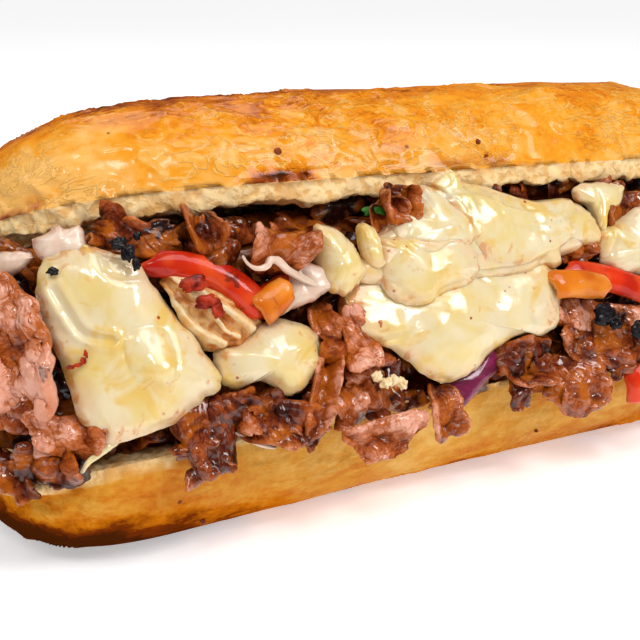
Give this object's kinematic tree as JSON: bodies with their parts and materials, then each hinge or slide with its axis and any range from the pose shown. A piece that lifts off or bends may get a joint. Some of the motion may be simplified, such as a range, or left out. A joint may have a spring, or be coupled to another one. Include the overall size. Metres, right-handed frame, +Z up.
{
  "type": "submarine sandwich",
  "caption": "Long soft roll cut open along its front and hinged at the back, filled with shaved beef, melted cheese slices, pepper strips and onion.",
  "frame": {"origin": "centre of the sandwich's bounding box at its lowest level, on the flat underside of the roll", "axes": "+X along the roll, -Y towards the open front, +Z up"},
  "size_m": [0.2093, 0.0932, 0.0924],
  "materials": {
    "crust": "golden baked crust, thin and slightly glossy, with pale crumb on the cut faces",
    "beef": "moist browned shaved beef, pink inside, darker at the edges",
    "cheese": "melted pale yellow cheese, glossy",
    "pepper_red": "cooked red pepper, glossy",
    "pepper_orange": "cooked orange pepper, glossy",
    "onion_white": "soft translucent cooked onion",
    "onion_red": "soft purple onion"
  },
  "bodies": {
    "root": {"beef_heap": "beef", "beef_slice_01": "beef", "beef_slice_02": "beef", "beef_slice_03": "beef", "beef_slice_04": "beef", "beef_slice_05": "beef", "beef_slice_06": "beef", "beef_slice_07": "beef", "beef_slice_08": "beef", "beef_slice_09": "beef", "beef_slice_10": "beef", "beef_slice_11": "beef", "beef_slice_12": "beef", "beef_slice_13": "beef", "beef_slice_14": "beef", "beef_slice_15": "beef", "beef_slice_16": "beef", "beef_slice_17": "beef", "beef_slice_18": "beef", "beef_slice_19": "beef", "beef_slice_20": "beef", "beef_slice_21": "beef", "beef_slice_22": "beef", "beef_slice_23": "beef", "beef_slice_24": "beef", "beef_slice_25": "beef", "beef_slice_26": "beef", "beef_slice_27": "beef", "beef_slice_28": "beef", "cheese_drop_centre": "cheese", "cheese_fold_left": "cheese", "cheese_fold_lower": "cheese", "cheese_fold_right": "cheese", "cheese_fold_upper": "cheese", "cheese_slice_left": "cheese", "cheese_slice_lower": "cheese", "cheese_slice_right": "cheese", "cheese_slice_upper": "cheese", "onion_red_centre": "onion_red", "onion_white_centre": "onion_white", "onion_white_end": "onion_white", "onion_white_left": "onion_white", "onion_white_low": "onion_white", "pepper_orange_centre": "pepper_orange", "pepper_orange_end": "pepper_orange", "pepper_orange_right": "pepper_orange", "pepper_red_centre": "pepper_red", "pepper_red_left": "pepper_red", "pepper_red_low": "pepper_red", "pepper_red_right": "pepper_red", "roll": "crust"}
  },
  "joints": []
}
